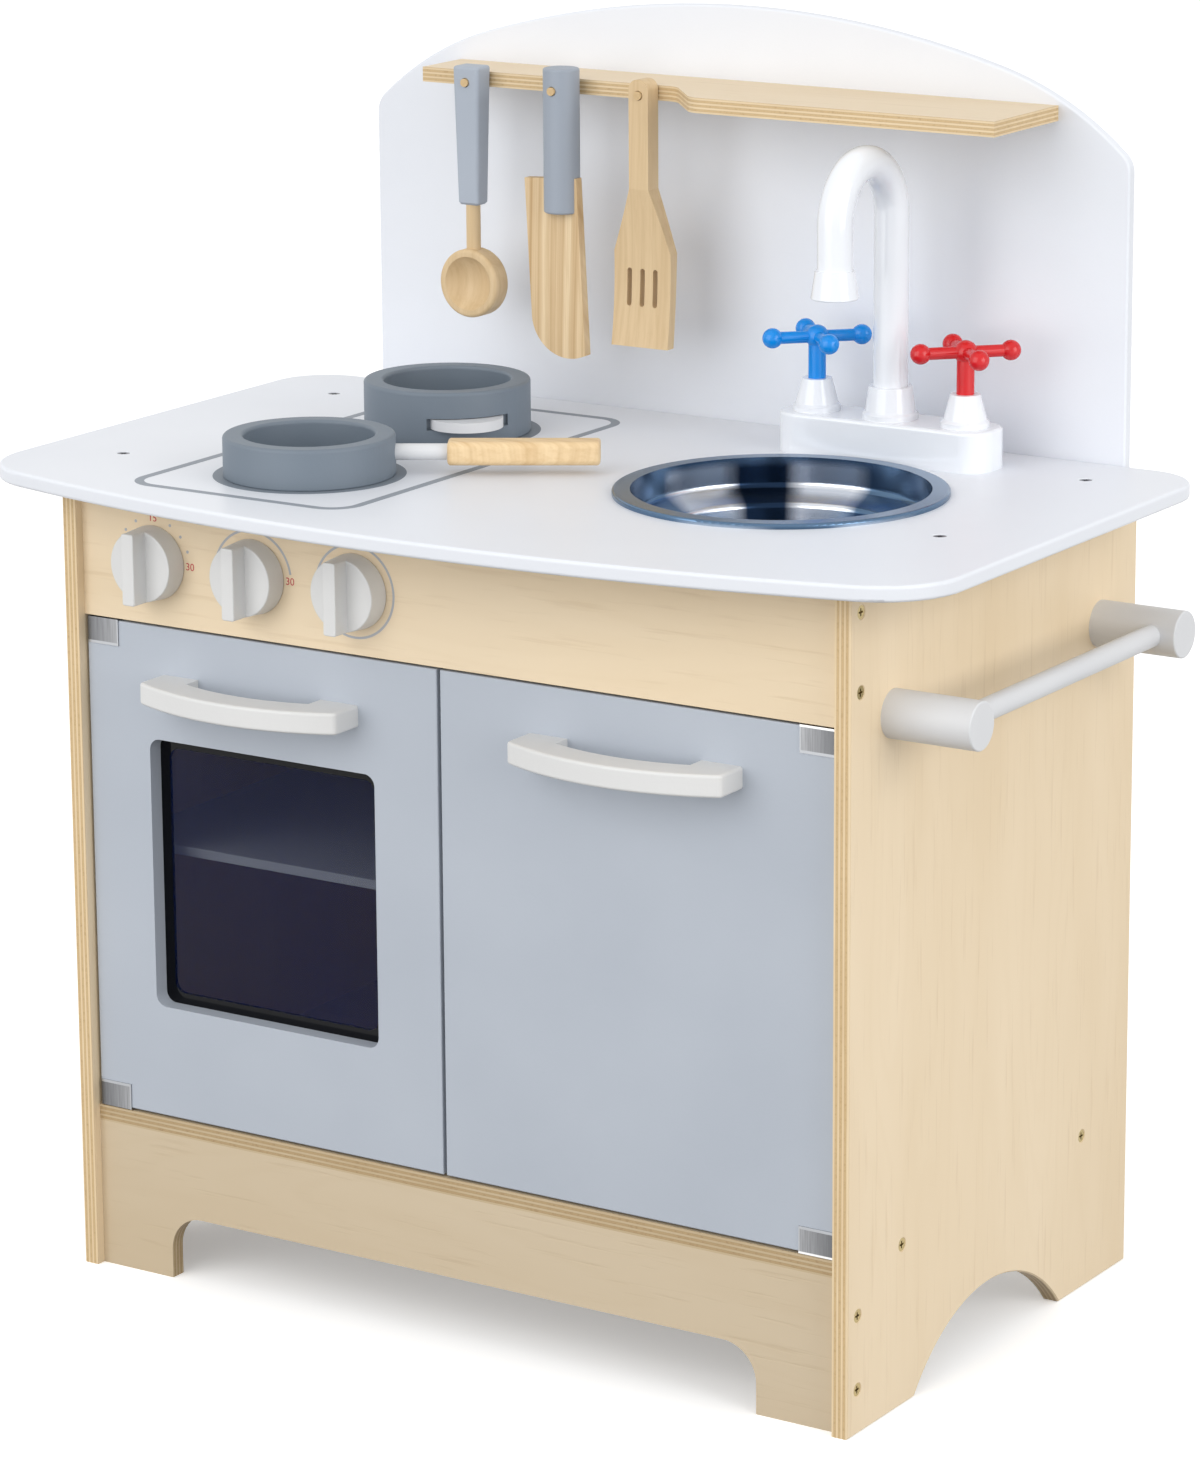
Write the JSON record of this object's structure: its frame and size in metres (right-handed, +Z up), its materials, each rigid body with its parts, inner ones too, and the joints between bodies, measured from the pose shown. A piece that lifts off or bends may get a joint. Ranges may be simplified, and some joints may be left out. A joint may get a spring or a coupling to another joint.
{
  "type": "play kitchen",
  "caption": "Wooden play kitchen with oven and cupboard doors, knobs, hob, lift-out sink, taps, splashback with hanging utensils, pans and a towel rail.",
  "frame": {"origin": "bottom centre of the footprint box, on the floor", "axes": "+Z up, -Y the front with the doors and knobs, +X to the right seen from the front"},
  "size_m": [0.637, 0.3894, 0.7392],
  "materials": {
    "birch_plywood": "clear satin lacquer on birch plywood, ply layers showing at the edges",
    "natural_beech": "oiled light hardwood",
    "grey_blue_paint": "satin grey-blue paint on board",
    "white_paint": "smooth satin white paint on board",
    "slate_paint": "matt slate grey paint on turned wood",
    "mid_grey_paint": "matt mid grey paint on wood",
    "pale_grey_paint": "satin pale grey paint on turned wood",
    "pale_grey_plastic": "satin moulded plastic",
    "white_plastic": "glossy moulded plastic",
    "blue_plastic": "glossy moulded plastic",
    "red_plastic": "glossy moulded plastic",
    "smoked_acrylic": "dark tinted clear sheet",
    "sink_steel": "spun polished stainless steel",
    "clip_steel": "bright zinc-plated steel sheet",
    "screw_steel": "yellow zinc-plated cross-head screws",
    "magnet_steel": "nickel-plated magnet"
  },
  "bodies": {
    "root": {"side_panel_left": "birch_plywood", "side_panel_right": "birch_plywood", "bottom_board": "birch_plywood", "plinth": "birch_plywood", "fascia": "birch_plywood", "rear_rail": "birch_plywood", "divider": "birch_plywood", "back_panel": "birch_plywood", "oven_shelf": "grey_blue_paint", "shelf_dowels": "natural_beech", "worktop": "white_paint", "splashback": "white_paint", "spice_shelf": "birch_plywood", "utensil_pegs": "natural_beech", "catch_blocks": "white_plastic", "catch_magnets": "magnet_steel", "faucet_base": "white_plastic", "tap_bonnets": "white_plastic", "spout_collar": "white_plastic", "towel_posts": "pale_grey_paint", "towel_rod": "pale_grey_paint", "side_screws": "screw_steel", "worktop_screws": "clip_steel", "faucet_screws": "clip_steel", "rear_screws": "screw_steel"},
    "left_door": {"left_door": "grey_blue_paint", "oven_window": "smoked_acrylic", "pane_screws": "clip_steel", "left_door_handle": "pale_grey_plastic", "left_door_handle_screws": "clip_steel", "left_door_clips": "clip_steel", "left_door_pins": "clip_steel", "left_door_strike": "clip_steel"},
    "right_door": {"right_door": "grey_blue_paint", "right_door_handle": "pale_grey_plastic", "right_door_handle_screws": "clip_steel", "right_door_clips": "clip_steel", "right_door_pins": "clip_steel", "right_door_strike": "clip_steel"},
    "knob_left": {"knob_left": "pale_grey_plastic", "knob_left_spindle": "white_plastic"},
    "knob_middle": {"knob_middle": "pale_grey_plastic", "knob_middle_spindle": "white_plastic"},
    "knob_right": {"knob_right": "pale_grey_plastic", "knob_right_spindle": "white_plastic"},
    "cold_tap": {"cold_tap_handle": "blue_plastic"},
    "hot_tap": {"hot_tap_handle": "red_plastic"},
    "spout": {"spout": "white_plastic", "spout_nozzle": "white_plastic"},
    "sink_bowl": {"sink_bowl": "sink_steel"},
    "frying_pan": {"frying_pan": "slate_paint", "pan_rod": "pale_grey_paint", "pan_grip": "natural_beech"},
    "cooking_pot": {"cooking_pot": "slate_paint", "pot_handles": "pale_grey_paint"},
    "ladle": {"ladle_handle": "mid_grey_paint", "ladle_bowl": "natural_beech"},
    "knife": {"knife_handle": "mid_grey_paint", "knife_blade": "natural_beech"},
    "spatula": {"spatula": "natural_beech"}
  },
  "joints": [
    {"name": "left_door_hinge", "type": "hinge", "parent": "root", "child": "left_door", "pos_m": [-0.2415, -0.12625, 0.25075], "axis": [0, 0, 1], "range_deg": [-100, 0]},
    {"name": "right_door_hinge", "type": "hinge", "parent": "root", "child": "right_door", "pos_m": [0.2415, -0.12625, 0.25075], "axis": [0, 0, 1], "range_deg": [0, 100]},
    {"name": "knob_left_turn", "type": "hinge", "parent": "root", "child": "knob_left", "pos_m": [-0.2033, -0.13175, 0.4383], "axis": [0, 1, 0], "continuous": true},
    {"name": "knob_middle_turn", "type": "hinge", "parent": "root", "child": "knob_middle", "pos_m": [-0.1323, -0.13175, 0.4383], "axis": [0, 1, 0], "continuous": true},
    {"name": "knob_right_turn", "type": "hinge", "parent": "root", "child": "knob_right", "pos_m": [-0.0613, -0.13175, 0.4383], "axis": [0, 1, 0], "continuous": true},
    {"name": "cold_tap_turn", "type": "hinge", "parent": "root", "child": "cold_tap", "pos_m": [0.0845, 0.13475, 0.5315], "axis": [0, 0, 1], "range_deg": [-90, 90]},
    {"name": "hot_tap_turn", "type": "hinge", "parent": "root", "child": "hot_tap", "pos_m": [0.1835, 0.13475, 0.5315], "axis": [0, 0, 1], "range_deg": [-90, 90]},
    {"name": "spout_swivel", "type": "hinge", "parent": "root", "child": "spout", "pos_m": [0.134, 0.13475, 0.5315], "axis": [0, 0, 1], "range_deg": [-60, 60]},
    {"name": "sink_bowl_lift", "type": "slide", "parent": "root", "child": "sink_bowl", "axis": [0, 0, 1], "range_m": [0, 0.045]},
    {"name": "frying_pan_lift", "type": "slide", "parent": "root", "child": "frying_pan", "axis": [0, 0, 1], "range_m": [0, 0.045]},
    {"name": "cooking_pot_lift", "type": "slide", "parent": "root", "child": "cooking_pot", "axis": [0, 0, 1], "range_m": [0, 0.02]},
    {"name": "ladle_unhook", "type": "slide", "parent": "root", "child": "ladle", "axis": [0, 1, 0], "range_m": [-0.018, 0]},
    {"name": "knife_unhook", "type": "slide", "parent": "root", "child": "knife", "axis": [0, 1, 0], "range_m": [-0.025, 0]},
    {"name": "spatula_unhook", "type": "slide", "parent": "root", "child": "spatula", "axis": [0, 1, 0], "range_m": [-0.014, 0]}
  ]
}
